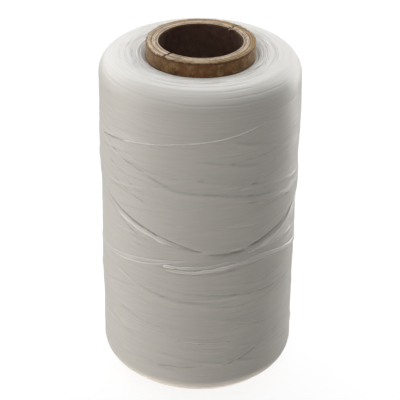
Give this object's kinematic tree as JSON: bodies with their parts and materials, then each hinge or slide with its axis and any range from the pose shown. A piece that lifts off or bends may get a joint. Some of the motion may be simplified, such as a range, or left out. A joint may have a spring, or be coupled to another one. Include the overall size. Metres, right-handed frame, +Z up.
{
  "type": "waxed thread spool",
  "caption": "Cylindrical package of flat waxed thread cross-wound on a plain spiral-wound paper tube, open through the middle for a spindle.",
  "frame": {"origin": "centre of the paper tube's lower rim, on the spool's axis", "axes": "+Z up along the tube's axis, -Y towards the side where the thread's loose end lies"},
  "size_m": [0.0692, 0.0692, 0.127],
  "materials": {
    "kraft_paper": "matte brown kraft paper",
    "chipboard": "matte grey-tan chipboard, cut edge",
    "waxed_thread": "satin, waxy white multi-filament thread"
  },
  "bodies": {
    "root": {"tube_liner_ply": "kraft_paper", "tube_body_ply_1": "chipboard", "tube_body_ply_2": "chipboard", "tube_body_ply_3": "chipboard", "tube_body_ply_4": "chipboard", "tube_body_ply_5": "chipboard", "tube_body_ply_6": "chipboard", "tube_outer_ply": "kraft_paper", "thread_package": "waxed_thread", "thread_start": "waxed_thread", "thread_last_turns": "waxed_thread"}
  },
  "joints": []
}
